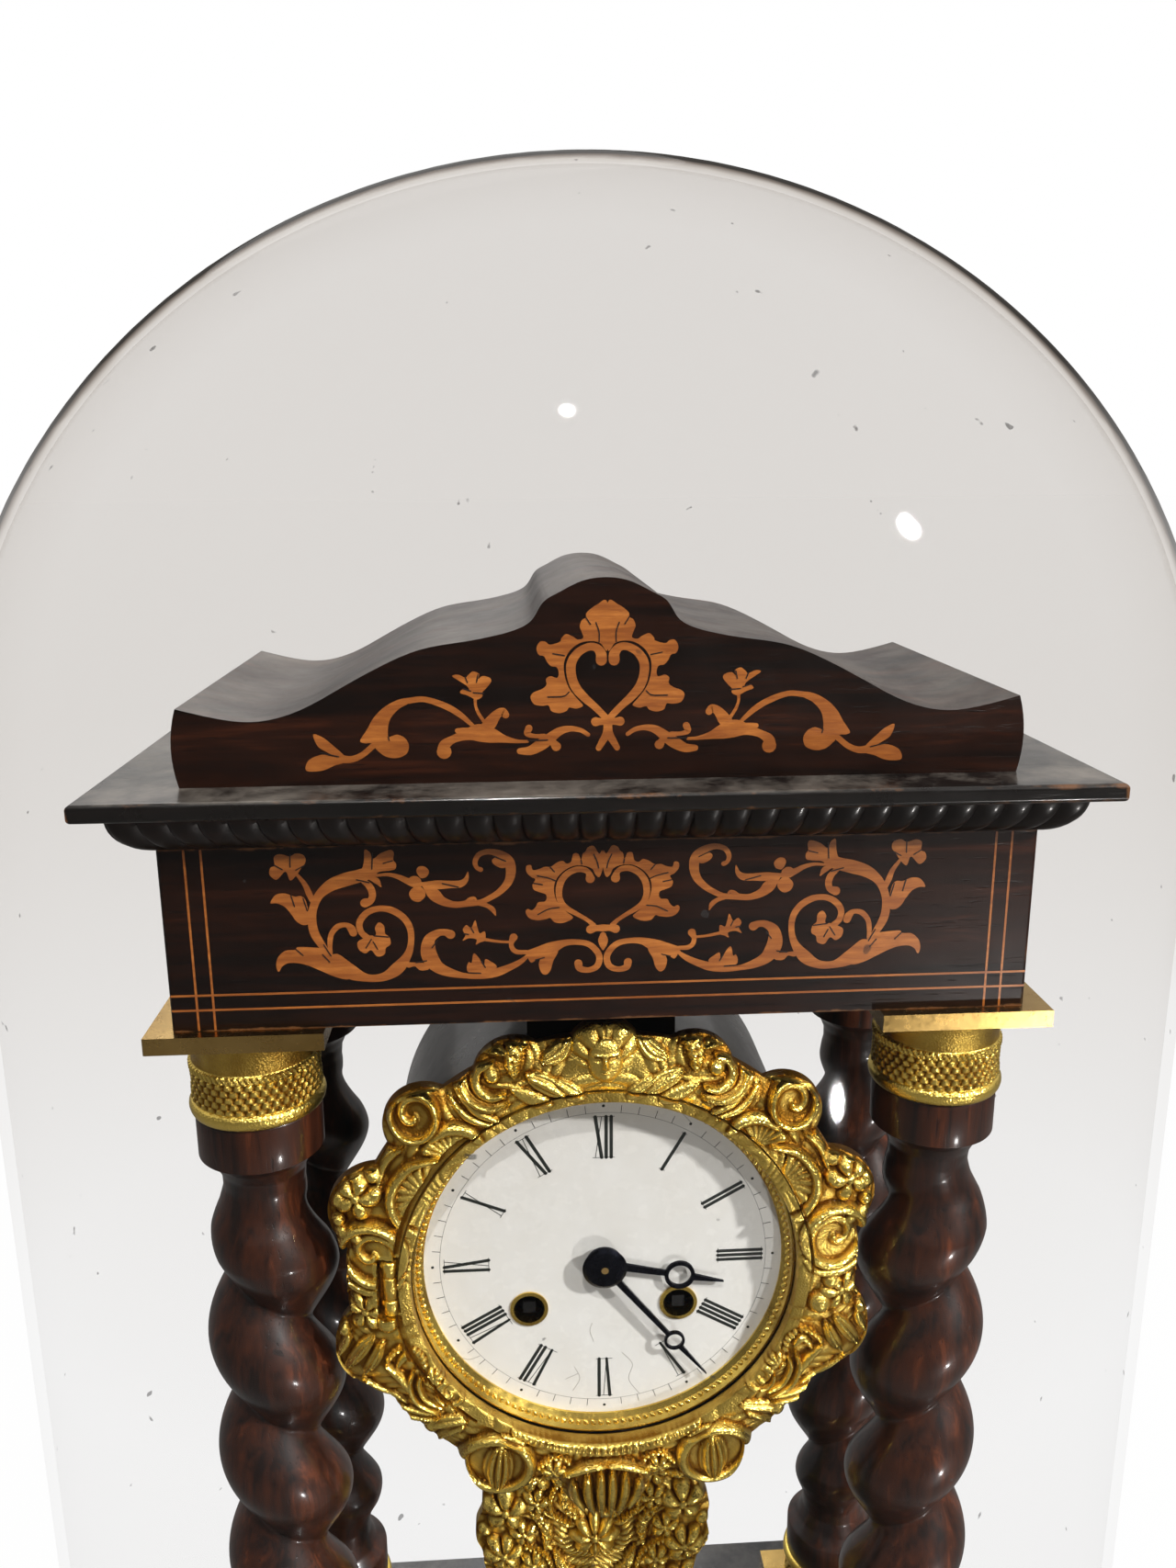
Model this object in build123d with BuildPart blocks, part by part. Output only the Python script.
"""Four-column mantel clock with twisted columns, under an oval glass dome. Millimetres.

X is right, Y is back, Z is up, and the floor is z = 0 under the middle of the dome's stand.
"""

import os
from math import atan2, cos, degrees, hypot, pi, radians, sin, sqrt

from build123d import *

os.makedirs("parts", exist_ok=True)

# Clearances
SLIP = 0.05  # shaft in its bearing, on the radius
AIR = 0.4  # free air beside a turning piece
GROOVE_AIR = 0.8  # glass in its groove, on each side

# Frieze, cornice and pediment
FRIEZE_W, FRIEZE_D, FRIEZE_H = 215.0, 110.0, 47.0
WALL = 9.0
MOULD_H, MOULD_OUT = 10.5, 9.0
BOARD_W, BOARD_D, BOARD_T = 244.0, 139.0, 4.5
PED_W, PED_D, PED_H = 201.0, 101.0, 48.0

# Columns
COLUMN_ZONE = 291.5  # plinth top to frieze
COLUMN_IN_X, COLUMN_IN_Y = 15.5, 18.5  # column axis inside the frieze's faces
TWIST_R, TWIST_OFF, TWIST_LEAD = 14.4, 3.4, 37.5
NECK_R, NECK_H = 16.6, 12.5  # plain drum under a collar
COVE_R, COVE_H = 10.7, 21.0  # turned cove between the drum and the twist
COLLAR_H, COLLAR_R = 24.5, 17.8
PLATE_W, PLATE_T = 44.0, 4.5
SPIGOT_R, SPIGOT_IN = 5.0, 7.0

# Plinth, feet, stand and dome
STEP_H, PLINTH_H, CAP_H = 9.0, 38.5, 9.0
PLINTH_IN = 9.0  # body inside the step
STEP_W, STEP_D = 240.0, 136.0
FOOT_H, FOOT_R = 12.0, 14.0
STAND_FOOT_H, STAND_FOOT_R, STAND_T, STAND_RIM = 14.0, 16.0, 26.0, 15.5
GROOVE = 8.0
GLASS = 3.0
DOME_OVER_W, DOME_OVER_D = 48.5, 37.5  # dome's outside beyond the cornice board
DOME_SHOULDER_UP, DOME_RISE = 50.0, 161.0  # shoulder over the frieze's foot, and cap

# Drum, bezel and dial
DIAL_DROP = 78.0  # dial centre under the frieze
DRUM_R, DRUM_BORE = 62.0, 55.0
DRUM_FRONT, DRUM_BACK = -44.0, 40.0
HANGER_W = 40.0
BEZEL_BORE, BEZEL_R = 56.0, 70.0
BEZEL_BASE, BEZEL_RISE = 3.0, 5.5
SASH_GAP = 0.7
SASH_LIP = 52.6
SLIP_BORE = 49.6  # gilt slip that frames the dial
PANE = 1.6
DIAL_R, DIAL_T = 52.4, 1.5
DIAL_FRONT = -43.0
WINDING_X, WINDING_Z = 20.9, -14.3
FERRULE_R, FERRULE_BORE = 5.3, 4.3

# Hands
MINUTES = 23.5  # past three
HOUR_LEN, HOUR_EYE, HOUR_EYE_R = 34.0, 21.4, 4.25
MINUTE_LEN, MINUTE_EYE, MINUTE_EYE_R = 45.5, 31.0, 2.9
HAND_T = 0.8
BOSS_R = 6.15

# Movement
PLATES_R, PLATES_T, PLATES_GAP = 50.0, 2.5, 36.0
FRONT_Y = -32.0  # front of the front plate
PILLAR_R = 2.5
BARREL_R = 17.5
ROD_W, ROD_T = 3.0, 1.6
PENDULUM = 193.0
BOB_R, BOB_T = 42.5, 10.0
BELL_R, BELL_DEEP, BELL_T = 30.0, 16.0, 1.2

# Levels and places that follow
STAND_TOP = STAND_FOOT_H + STAND_T
PLINTH_Z = STAND_TOP + FOOT_H
PLINTH_TOP = PLINTH_Z + STEP_H + PLINTH_H + CAP_H
FRIEZE_Z = PLINTH_TOP + COLUMN_ZONE
MOULD_Z = FRIEZE_Z + FRIEZE_H
BOARD_Z = MOULD_Z + MOULD_H
PED_Z = BOARD_Z + BOARD_T
DOME_A = BOARD_W / 2 + DOME_OVER_W
DOME_B = BOARD_D / 2 + DOME_OVER_D
DOME_Z = STAND_TOP - GROOVE + 0.3
SHOULDER_Z = FRIEZE_Z + DOME_SHOULDER_UP
COL_X = FRIEZE_W / 2 - COLUMN_IN_X
COL_Y = FRIEZE_D / 2 - COLUMN_IN_Y
CORNERS = [(sx * COL_X, sy * COL_Y) for sx in (-1, 1) for sy in (-1, 1)]
ZC = FRIEZE_Z - DIAL_DROP
FRONT_IN = FRONT_Y + PLATES_T
BACK_IN = FRONT_IN + PLATES_GAP
BACK_Y = BACK_IN + PLATES_T
DIAL_BACK = DIAL_FRONT + DIAL_T
DIAL_PLATE_T = 1.2
LEDGE = DIAL_BACK + DIAL_PLATE_T
SASH_R = BEZEL_BORE - SASH_GAP
SASH_BACK = DRUM_FRONT - 1.6
PANE_BACK = SASH_BACK - 3.0
PANE_FRONT = PANE_BACK - PANE
ROD_Y = BACK_Y + 6.8  # middle of the pendulum's plane
BELL_Y = BACK_Y + 11.0


def facing(y, x=0.0, z=0.0, clock=0.0):
    """A sketch plane seen from the front, that extrudes forward, its up turned clockwise by clock degrees."""
    c = radians(clock)
    return Plane(origin=(x, y, ZC + z), x_dir=(cos(c), 0, -sin(c)), z_dir=(0, -1, 0))


def rod_y(r, y0, y1, x=0.0, z=0.0, mode=Mode.ADD):
    """A round bar along the depth, from y0 to y1."""
    with BuildSketch(facing(max(y0, y1), x, z)) as face:
        Circle(r)
    extrude(face.sketch, amount=abs(y1 - y0), mode=mode)


def rod_z(r, z0, z1, x=0.0, y=0.0, mode=Mode.ADD):
    """A round upright bar from z0 to z1."""
    with BuildSketch(Plane.XY.offset(min(z0, z1))) as face:
        with Locations((x, y)):
            Circle(r)
    extrude(face.sketch, amount=abs(z1 - z0), mode=mode)


def block(x0, x1, y0, y1, z0, z1, mode=Mode.ADD):
    """A box between three pairs of limits."""
    with Locations(((x0 + x1) / 2, (y0 + y1) / 2, (z0 + z1) / 2)):
        Box(abs(x1 - x0), abs(y1 - y0), abs(z1 - z0), mode=mode)


def turned_y(points, mode=Mode.ADD):
    """A ring turned about the dial's axis from (radius, y) corners."""
    with BuildSketch(Plane.XY.offset(ZC)) as face:
        with BuildLine():
            Polyline(*points, close=True)
        make_face()
    revolve(face.sketch, axis=Axis((0, 0, ZC), (0, 1, 0)), mode=mode)


def toothed(n, module, turn=0.0, tip=0.18, root=0.46, add=0.75, ded=1.25):
    """Corners of a wheel with n straight-sided teeth, one of them at turn degrees."""
    pitch, mid = 2 * pi / n, n * module / 2
    corners = []
    for k in range(n):
        at = radians(turn) + k * pitch
        for r, half in ((-ded, -root), (add, -tip), (add, tip), (-ded, root)):
            a = at + half * pitch / 2
            corners.append(((mid + r * module) * cos(a), (mid + r * module) * sin(a)))
    return corners


def saw(n, tip, root):
    """Corners of a ratchet with n teeth."""
    corners = []
    for k in range(n):
        a = 2 * pi * k / n
        corners.append((tip * cos(a), tip * sin(a)))
        corners.append((root * cos(a + 0.04), root * sin(a + 0.04)))
    return corners


def wheel_y(corners, y0, y1, x, z):
    """A toothed slice from y0 to y1."""
    with BuildSketch(facing(max(y0, y1), x, z)) as face:
        with BuildLine():
            Polyline(*corners, close=True)
        make_face()
    extrude(face.sketch, amount=abs(y1 - y0))


def module_of(a, b, na, nb):
    """The module that spreads na + nb teeth over the distance from a to b."""
    return 2 * hypot(b[0] - a[0], b[1] - a[1]) / (na + nb)


def meshed(a, b, turn, na, nb):
    """The turn of wheel b at which its gaps take the teeth of wheel a."""
    way = degrees(atan2(b[1] - a[1], b[0] - a[0]))
    share = (way - turn) / (360 / na)
    return way + 180 - (360 / nb) * (0.5 - share)


def export(name, piece):
    """Labels a piece and writes its STEP file."""
    piece.part.label = name
    export_step(piece.part, f"parts/{name}.step")


# Stand and dome
with BuildPart() as dome_base:
    with BuildSketch(Plane.XY.offset(STAND_FOOT_H)):
        Ellipse(DOME_A + STAND_RIM, DOME_B + STAND_RIM)
    extrude(amount=STAND_T)
    fillet(dome_base.edges().group_by(Axis.Z)[-1], STAND_RIM * 0.45)
    fillet(dome_base.edges().group_by(Axis.Z)[0], 4)
    with BuildSketch(Plane.XY.offset(STAND_TOP)):
        Ellipse(DOME_A + GROOVE_AIR, DOME_B + GROOVE_AIR)
        Ellipse(DOME_A - GLASS - GROOVE_AIR, DOME_B - GLASS - GROOVE_AIR, mode=Mode.SUBTRACT)
    extrude(amount=-GROOVE, mode=Mode.SUBTRACT)
export("dome_base", dome_base)


def bun(z, height, r):
    """A turned foot from z up, flat above and below."""
    with BuildSketch(Plane.XZ) as face:
        with BuildLine():
            Polyline((0.68 * r, z), (0, z), (0, z + height), (0.72 * r, z + height))
            ThreePointArc((0.72 * r, z + height), (r, z + height / 2), (0.68 * r, z))
        make_face()
    revolve(face.sketch, axis=Axis.Z)


STAND_FEET = [
    (sx * 0.62 * (DOME_A + STAND_RIM), sy * 0.51 * (DOME_B + STAND_RIM))
    for sx in (-1, 1)
    for sy in (-1, 1)
]
with BuildPart() as stand_bun:
    bun(0, STAND_FOOT_H, STAND_FOOT_R)
with BuildPart() as dome_base_feet:
    with Locations(*STAND_FEET):
        add(stand_bun.part)
export("dome_base_feet", dome_base_feet)


def bell_jar(a, b, z0, rise):
    """The solid inside an oval dome's surface, its half axes a and b."""
    with BuildPart() as jar:
        with BuildSketch(Plane.XZ):
            with BuildLine():
                Polyline((0, SHOULDER_Z + rise), (0, z0), (a, z0), (a, SHOULDER_Z))
                EllipticalCenterArc((0, SHOULDER_Z), a, rise, start_angle=0, arc_size=90)
            make_face()
        revolve(axis=Axis.Z)
    return scale(jar.part, by=(1, b / a, 1))


outside = bell_jar(DOME_A, DOME_B, DOME_Z, DOME_RISE)
inside = bell_jar(DOME_A - GLASS, DOME_B - GLASS, DOME_Z - 1, DOME_RISE - GLASS)
with BuildPart() as glass_dome:
    add(outside)
    add(inside, mode=Mode.SUBTRACT)
export("glass_dome", glass_dome)

# Plinth
with BuildPart() as clock_bun:
    bun(STAND_TOP, FOOT_H, FOOT_R)
with BuildPart() as clock_feet:
    with GridLocations(STEP_W - 3 * FOOT_R, STEP_D - 3 * FOOT_R, 2, 2):
        add(clock_bun.part)
export("clock_feet", clock_feet)

BODY_Z = PLINTH_Z + STEP_H
CAP_Z = BODY_Z + PLINTH_H
with BuildPart() as plinth_body:
    with BuildSketch(Plane.XY.offset(BODY_Z)):
        RectangleRounded(STEP_W - 2 * PLINTH_IN, STEP_D - 2 * PLINTH_IN, 2)
    extrude(amount=PLINTH_H)
    with BuildSketch(Plane.XY.offset(BODY_Z)):
        Rectangle(STEP_W - 2 * PLINTH_IN - 2 * WALL, STEP_D - 2 * PLINTH_IN - 2 * WALL)
    extrude(amount=PLINTH_H, mode=Mode.SUBTRACT)
export("plinth_body", plinth_body)

with BuildPart() as plinth_step:
    with BuildSketch(Plane.XY.offset(PLINTH_Z)):
        RectangleRounded(STEP_W, STEP_D, 3)
    extrude(amount=STEP_H)
    fillet(plinth_step.edges().group_by(Axis.Z)[-1], 5)
with BuildPart() as plinth_cap:
    with BuildSketch(Plane.XY.offset(CAP_Z)):
        RectangleRounded(STEP_W - 2, STEP_D - 2, 3)
    extrude(amount=CAP_H)
    fillet(plinth_cap.edges().group_by(Axis.Z)[0], 5)
    for cx, cy in CORNERS:
        rod_z(SPIGOT_R, PLINTH_TOP - SPIGOT_IN, PLINTH_TOP + 1, cx, cy, Mode.SUBTRACT)
with BuildPart() as plinth_mouldings:
    add(plinth_step.part)
    add(plinth_cap.part)
export("plinth_mouldings", plinth_mouldings)

# Columns, left-handed on the left and right-handed on the right
LOW = PLINTH_TOP + PLATE_T + COLLAR_H
HIGH = FRIEZE_Z - PLATE_T - COLLAR_H
TURN_LOW, TURN_HIGH = LOW + NECK_H + COVE_H, HIGH - NECK_H - COVE_H
BULGE = (-133.5, -140.0)  # level of an outward bulge under the frieze, left and right
with BuildPart() as coves:
    for z0, up in ((TURN_LOW, -1), (TURN_HIGH, 1)):
        with BuildSketch(Plane.XZ) as face:
            with BuildLine():
                Spline(
                    (TWIST_R - 1, z0),
                    (COVE_R, z0 + up * COVE_H / 2),
                    (NECK_R - 2, z0 + up * COVE_H),
                )
                Polyline(
                    (NECK_R - 2, z0 + up * COVE_H),
                    (0, z0 + up * COVE_H),
                    (0, z0),
                    (TWIST_R - 1, z0),
                )
            make_face()
        revolve(face.sketch, axis=Axis.Z)
for (cx, cy), name in zip(
    CORNERS,
    (
        "column_front_left",
        "column_rear_left",
        "column_front_right",
        "column_rear_right",
    ),
):
    hand = -1 if cx < 0 else 1
    level = TURN_LOW - FRIEZE_Z - BULGE[0 if cx < 0 else 1]
    start = (180 if cx < 0 else 0) + hand * 360 * level / TWIST_LEAD
    with BuildSketch(Plane.XY.offset(TURN_LOW)) as slice_low:
        with Locations((TWIST_OFF * cos(radians(start)), TWIST_OFF * sin(radians(start)))):
            Circle(TWIST_R)
    twist = Solid.extrude_linear_with_rotation(
        slice_low.sketch.faces()[0],
        Vector(0, 0, TURN_LOW),
        Vector(0, 0, TURN_HIGH - TURN_LOW),
        hand * 360 * (TURN_HIGH - TURN_LOW) / TWIST_LEAD,
    )
    with BuildPart() as column:
        with Locations((cx, cy, 0)):
            add(twist)
            add(coves.part)
        rod_z(NECK_R, LOW, LOW + NECK_H, cx, cy)
        rod_z(NECK_R, HIGH - NECK_H, HIGH, cx, cy)
        rod_z(SPIGOT_R, PLINTH_TOP - SPIGOT_IN, LOW, cx, cy)
        rod_z(SPIGOT_R, HIGH, FRIEZE_Z + SPIGOT_IN, cx, cy)
    export(name, column)


def collar(z0, up):
    """A turned gilt collar from z0, its wide flare first, upwards or downwards by up = 1 or -1."""
    r = COLLAR_R
    shape = [
        (SPIGOT_R, 0),
        (r - 1.2, 0),
        (r - 0.2, 1.2),
        (r, 2.6),
        (r - 0.5, 4.4),
        (r - 1.2, 7),
        (r - 1.4, 10),
        (r - 1.3, COLLAR_H - 11.9),
        (r - 0.9, COLLAR_H - 11.3),
        (r - 0.9, COLLAR_H - 9.7),
        (r - 1.4, COLLAR_H - 9.1),
        (r - 1.2, COLLAR_H - 5.5),
        (r - 0.4, COLLAR_H - 2),
        (r, COLLAR_H),
        (SPIGOT_R, COLLAR_H),
    ]
    with BuildSketch(Plane.XZ) as face:
        with BuildLine():
            Polyline(*[(x, z0 + up * z) for x, z in shape], close=True)
        make_face()
    revolve(face.sketch, axis=Axis.Z)


with BuildPart() as collar_pair:
    collar(HIGH, 1)
    collar(LOW, -1)
with BuildPart() as column_collars:
    with Locations(*CORNERS):
        add(collar_pair.part)
export("column_collars", column_collars)

with BuildPart() as column_plates:
    for z in (PLINTH_TOP, FRIEZE_Z - PLATE_T):
        for cx, cy in CORNERS:
            block(
                cx - PLATE_W / 2, cx + PLATE_W / 2, cy - PLATE_W / 2, cy + PLATE_W / 2, z, z + PLATE_T
            )
            rod_z(SPIGOT_R, z, z + PLATE_T, cx, cy, Mode.SUBTRACT)
export("column_plates", column_plates)

# Frieze, moulding, board and pediment
SCREW_Y = 22.0
with BuildPart() as frieze:
    block(-FRIEZE_W / 2, FRIEZE_W / 2, -FRIEZE_D / 2, FRIEZE_D / 2, FRIEZE_Z, MOULD_Z)
    fillet(frieze.edges().filter_by(Axis.Z), 1)
    block(
        WALL - FRIEZE_W / 2,
        FRIEZE_W / 2 - WALL,
        WALL - FRIEZE_D / 2,
        FRIEZE_D / 2 - WALL,
        FRIEZE_Z + WALL,
        MOULD_Z + 1,
        Mode.SUBTRACT,
    )
    for cx, cy in CORNERS:
        rod_z(SPIGOT_R, FRIEZE_Z - 1, FRIEZE_Z + SPIGOT_IN, cx, cy, Mode.SUBTRACT)
    for y in (-SCREW_Y, SCREW_Y):
        rod_z(2, FRIEZE_Z - 1, FRIEZE_Z + WALL + 1, 0, y, Mode.SUBTRACT)
export("frieze", frieze)

with BuildPart() as gadroon_moulding:
    block(
        -FRIEZE_W / 2 - MOULD_OUT,
        FRIEZE_W / 2 + MOULD_OUT,
        -FRIEZE_D / 2 - MOULD_OUT,
        FRIEZE_D / 2 + MOULD_OUT,
        MOULD_Z,
        BOARD_Z,
    )
    fillet(gadroon_moulding.edges().group_by(Axis.Z)[0], MOULD_OUT - 0.2)
    block(
        WALL - FRIEZE_W / 2,
        FRIEZE_W / 2 - WALL,
        WALL - FRIEZE_D / 2,
        FRIEZE_D / 2 - WALL,
        MOULD_Z - 1,
        BOARD_Z + 1,
        Mode.SUBTRACT,
    )
export("gadroon_moulding", gadroon_moulding)

with BuildPart() as cornice_board:
    block(-BOARD_W / 2, BOARD_W / 2, -BOARD_D / 2, BOARD_D / 2, BOARD_Z, PED_Z)
    fillet(cornice_board.edges().group_by(Axis.Z)[-1], 1.2)
    fillet(cornice_board.edges().group_by(Axis.Z)[0], 1.2)
export("cornice_board", cornice_board)

# Half the pediment's outline as shares of its half width and height, from the apex to the end
PED_SHAPE = [
    (0, 1),
    (0.06, 0.979),
    (0.11, 0.927),
    (0.143, 0.885),
    (0.17, 0.8),
    (0.2, 0.76),
    (0.25, 0.729),
    (0.318, 0.702),
    (0.422, 0.667),
    (0.527, 0.579),
    (0.617, 0.479),
    (0.706, 0.381),
    (0.826, 0.323),
    (0.905, 0.344),
    (0.995, 0.392),
]
hw = PED_W / 2
left = [(-x * hw, PED_Z + z * PED_H) for x, z in reversed(PED_SHAPE)]
right = [(x * hw, PED_Z + z * PED_H) for x, z in PED_SHAPE[1:]]
with BuildPart() as pediment:
    with BuildSketch(Plane.XZ.offset(FRIEZE_D / 2 - PED_D)):
        with BuildLine():
            top_edge = Spline(*left, *right)
            ThreePointArc(top_edge @ 1, (1.01 * hw, PED_Z + 0.24 * PED_H), (hw, PED_Z))
            Line((hw, PED_Z), (-hw, PED_Z))
            ThreePointArc((-hw, PED_Z), (-1.01 * hw, PED_Z + 0.24 * PED_H), top_edge @ 0)
        make_face()
    extrude(amount=PED_D)
export("pediment", pediment)

# Drum that holds the movement, hung under the frieze
with BuildPart() as drum_hanger:
    block(-HANGER_W / 2, HANGER_W / 2, DRUM_FRONT + 8, DRUM_BACK - 6, ZC + DRUM_R - 12, FRIEZE_Z)
    rod_y(DRUM_R, DRUM_FRONT, DRUM_BACK, mode=Mode.SUBTRACT)
    for y in (-SCREW_Y, SCREW_Y):
        rod_z(2, FRIEZE_Z - 11, FRIEZE_Z + 1, 0, y, Mode.SUBTRACT)
export("drum_hanger", drum_hanger)

with BuildPart() as drum:
    turned_y([(DRUM_BORE, DRUM_FRONT), (DRUM_R, DRUM_FRONT), (DRUM_R, DRUM_BACK), (DRUM_BORE, DRUM_BACK)])
    rod_y(DRUM_BORE + 2.2, DRUM_FRONT - 1, LEDGE, mode=Mode.SUBTRACT)
    block(-16, 16, ROD_Y - 7, ROD_Y + 6, ZC - DRUM_R - 5, ZC - DRUM_BORE + 8, Mode.SUBTRACT)
export("drum", drum)

# Bezel, its sash and the rear door
HINGE_X = -(SASH_R + 2.6)
HINGE_Y = PANE_FRONT - 0.3
KNUCKLE_R, PIN_R = 2.0, 1.0
SASH_KNUCKLE, CASE_KNUCKLE = 3.2, 8.0
SCALLOPS = 12
# Lobes of the bezel's right half as (degrees from the right, inside its round edge, radius)
LOBES = [(68, 7.0, 11.0), (44, 4.0, 11.0), (19, 6.0, 13.5), (-19, 8.0, 15.5), (-65, 5.0, 12.5)]
LOBES += [(180 - a, inset, r) for a, inset, r in LOBES]
LOBES += [(90, 6.0, 9.5), (-90, 2.0, 13.0)]
SCROLLS = [
    ((BEZEL_R - inset) * cos(radians(a)), (BEZEL_R - inset) * sin(radians(a)), r)
    for a, inset, r in LOBES
]
TOP_Y = DRUM_FRONT - BEZEL_BASE - BEZEL_RISE
with BuildPart() as front_bezel:
    with BuildSketch(facing(DRUM_FRONT)):
        Circle(BEZEL_R)
        for x, z, r in SCROLLS:
            with Locations((x, z)):
                Circle(r)
    extrude(amount=BEZEL_BASE)
    for x, z, r in SCROLLS:
        with BuildSketch(facing(DRUM_FRONT - BEZEL_BASE, x, z)):
            Circle(0.9 * r)
        extrude(amount=BEZEL_RISE, taper=30)
    rise_y = DRUM_FRONT - BEZEL_BASE
    turned_y(
        [
            (BEZEL_BORE, rise_y + 1),
            (BEZEL_BORE, rise_y - 0.4 * BEZEL_RISE),
            (BEZEL_BORE + 3, TOP_Y + 0.8),
            (BEZEL_BORE + 7, TOP_Y),
            (BEZEL_R - 4, TOP_Y + 1.5),
            (BEZEL_R - 1.5, rise_y + 1),
        ]
    )
    with Locations((0, rise_y - 1, ZC + BEZEL_R - 6)):
        Sphere(6.5)
    block(-20, 20, DRUM_FRONT, DRUM_FRONT + 20, ZC, ZC + BEZEL_R + 20, Mode.SUBTRACT)
    rod_y(BEZEL_BORE, DRUM_FRONT + 1, DRUM_FRONT - 30, mode=Mode.SUBTRACT)
    block(HINGE_X - 3.4, 0, TOP_Y - 9, rise_y + 0.4, ZC - 10, ZC + 10, Mode.SUBTRACT)
    for side in (-1, 1):
        low, high = sorted((side * (SASH_KNUCKLE + AIR), side * CASE_KNUCKLE))
        rod_z(KNUCKLE_R, ZC + low, ZC + high, HINGE_X, HINGE_Y)
        block(HINGE_X - 3.8, HINGE_X, HINGE_Y - 0.9, HINGE_Y + 0.9, ZC + low, ZC + high)
    rod_z(PIN_R, ZC - 12, ZC + 12, HINGE_X, HINGE_Y, Mode.SUBTRACT)
export("front_bezel", front_bezel)

with BuildPart() as sash_ring:
    turned_y(
        [
            (SASH_LIP, PANE_FRONT),
            (SASH_LIP, PANE_FRONT - 1),
            ((SASH_LIP + SASH_R) / 2, PANE_FRONT - 2),
            (SASH_R - 0.5, PANE_FRONT - 1.5),
            (SASH_R, PANE_FRONT),
            (SASH_R, SASH_BACK),
            (SASH_LIP + 1.8, SASH_BACK),
            (SASH_LIP + 1.8, PANE_FRONT),
        ]
    )
    rod_z(KNUCKLE_R, ZC - SASH_KNUCKLE, ZC + SASH_KNUCKLE, HINGE_X, HINGE_Y)
    block(HINGE_X, 0.5 - SASH_R, HINGE_Y - 0.9, HINGE_Y + 0.9, ZC - SASH_KNUCKLE, ZC + SASH_KNUCKLE)
    rod_z(PIN_R + SLIP, ZC - 12, ZC + 12, HINGE_X, HINGE_Y, Mode.SUBTRACT)
export("sash_ring", sash_ring)

with BuildPart() as dial_glass:
    rod_y(SASH_LIP + 1.8, PANE_FRONT, PANE_BACK)
export("dial_glass", dial_glass)

RING_T, DOOR_T = 2.0, 1.6
STRAP_X, STRAP_Z = DRUM_BORE - 6, 16.0  # strap screws
DOOR_FRONT = DRUM_BACK + RING_T + AIR
REAR_HINGE_X = -(DRUM_BORE + 2.5)
REAR_HINGE_Y = DRUM_BACK + RING_T + KNUCKLE_R + 0.1
with BuildPart() as rear_ring:
    turned_y(
        [
            (DRUM_BORE - 7, DRUM_BACK),
            (DRUM_R - 0.6, DRUM_BACK),
            (DRUM_R - 0.6, DRUM_BACK + RING_T),
            (DRUM_BORE - 7, DRUM_BACK + RING_T),
        ]
    )
    for side in (-1, 1):
        low, high = sorted((side * (SASH_KNUCKLE + AIR), side * CASE_KNUCKLE))
        rod_z(KNUCKLE_R, ZC + low, ZC + high, REAR_HINGE_X, REAR_HINGE_Y)
        block(
            REAR_HINGE_X - 2, REAR_HINGE_X, DRUM_BACK + 1, REAR_HINGE_Y, ZC + low, ZC + high
        )
    rod_z(PIN_R, ZC - 12, ZC + 12, REAR_HINGE_X, REAR_HINGE_Y, Mode.SUBTRACT)
    for side in (-1, 1):
        rod_y(1.5, DRUM_BACK - 1, DRUM_BACK + RING_T + 1, side * STRAP_X, STRAP_Z, Mode.SUBTRACT)
export("rear_ring", rear_ring)

with BuildPart() as rear_door:
    rod_y(DRUM_BORE - 1.5, DOOR_FRONT, DOOR_FRONT + DOOR_T)
    block(
        REAR_HINGE_X,
        4 - DRUM_BORE,
        REAR_HINGE_Y - 0.8,
        REAR_HINGE_Y + 0.8,
        ZC - SASH_KNUCKLE,
        ZC + SASH_KNUCKLE,
    )
    block(
        2 - DRUM_BORE,
        5 - DRUM_BORE,
        DOOR_FRONT,
        REAR_HINGE_Y + 0.8,
        ZC - SASH_KNUCKLE,
        ZC + SASH_KNUCKLE,
    )
    rod_z(KNUCKLE_R, ZC - SASH_KNUCKLE, ZC + SASH_KNUCKLE, REAR_HINGE_X, REAR_HINGE_Y)
    rod_z(PIN_R + SLIP, ZC - 12, ZC + 12, REAR_HINGE_X, REAR_HINGE_Y, Mode.SUBTRACT)
    rod_y(1.8, DOOR_FRONT + DOOR_T, DOOR_FRONT + DOOR_T + 3, DRUM_BORE - 9)
    rod_y(3.4, DOOR_FRONT + DOOR_T + 3, DOOR_FRONT + DOOR_T + 6, DRUM_BORE - 9)
    for side in (-1, 1):
        # the strap screws' heads stay on the ring when the door swings
        rod_y(3.4, DOOR_FRONT - 1, DOOR_FRONT + DOOR_T + 1, side * STRAP_X, STRAP_Z, Mode.SUBTRACT)
export("rear_door", rear_door)

with BuildPart() as hinge_pins:
    rod_z(PIN_R, ZC - CASE_KNUCKLE, ZC + CASE_KNUCKLE, HINGE_X, HINGE_Y)
    rod_z(PIN_R, ZC - CASE_KNUCKLE, ZC + CASE_KNUCKLE, REAR_HINGE_X, REAR_HINGE_Y)
export("hinge_pins", hinge_pins)

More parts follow.
